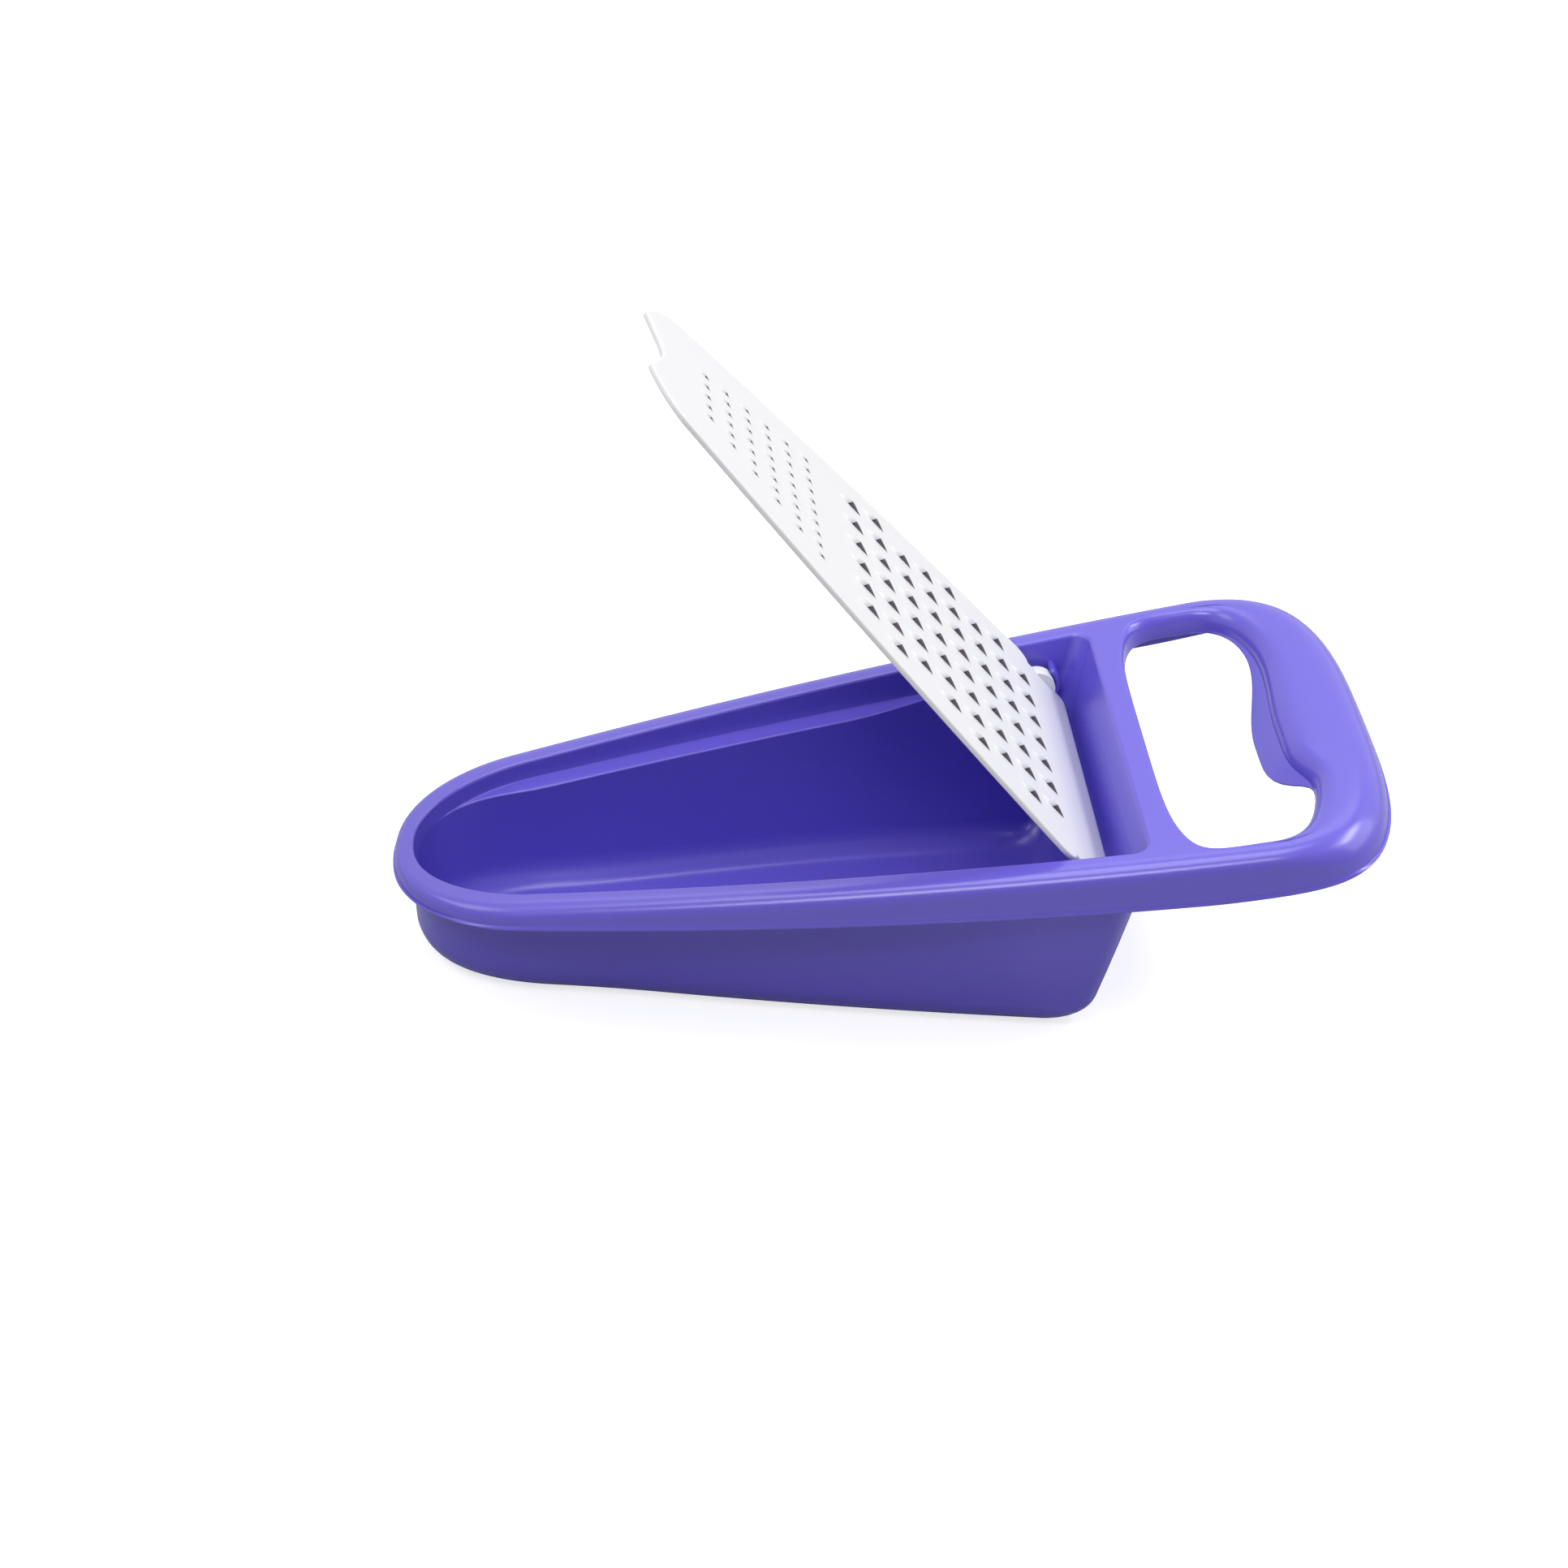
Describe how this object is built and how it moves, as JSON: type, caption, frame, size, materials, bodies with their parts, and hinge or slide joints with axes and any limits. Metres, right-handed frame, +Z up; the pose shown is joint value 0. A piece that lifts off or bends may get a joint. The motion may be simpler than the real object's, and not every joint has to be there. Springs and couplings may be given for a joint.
{
  "type": "cheese grater",
  "caption": "Box cheese grater: a tapered plastic tray with a moulded D handle catches the gratings, and a hinged white plate with coarse and fine teeth closes over it.",
  "frame": {"origin": "on the surface the tray stands on, under the middle of its overall length and width", "axes": "+X from the rounded nose to the handle, +Y across the tray, +Z up from the flat bottom"},
  "size_m": [0.2266, 0.1166, 0.1566],
  "materials": {
    "violet_plastic": "gloss",
    "white_plastic": "semi-gloss"
  },
  "bodies": {
    "tray": {"tray": "violet_plastic"},
    "plate": {"grater_plate": "white_plastic"}
  },
  "joints": [
    {"name": "plate_hinge", "type": "hinge", "parent": "tray", "child": "plate", "pos_m": [0.04171, 0, 0.04373], "axis": [0, 1, 0], "range_deg": [-54, 42]}
  ]
}
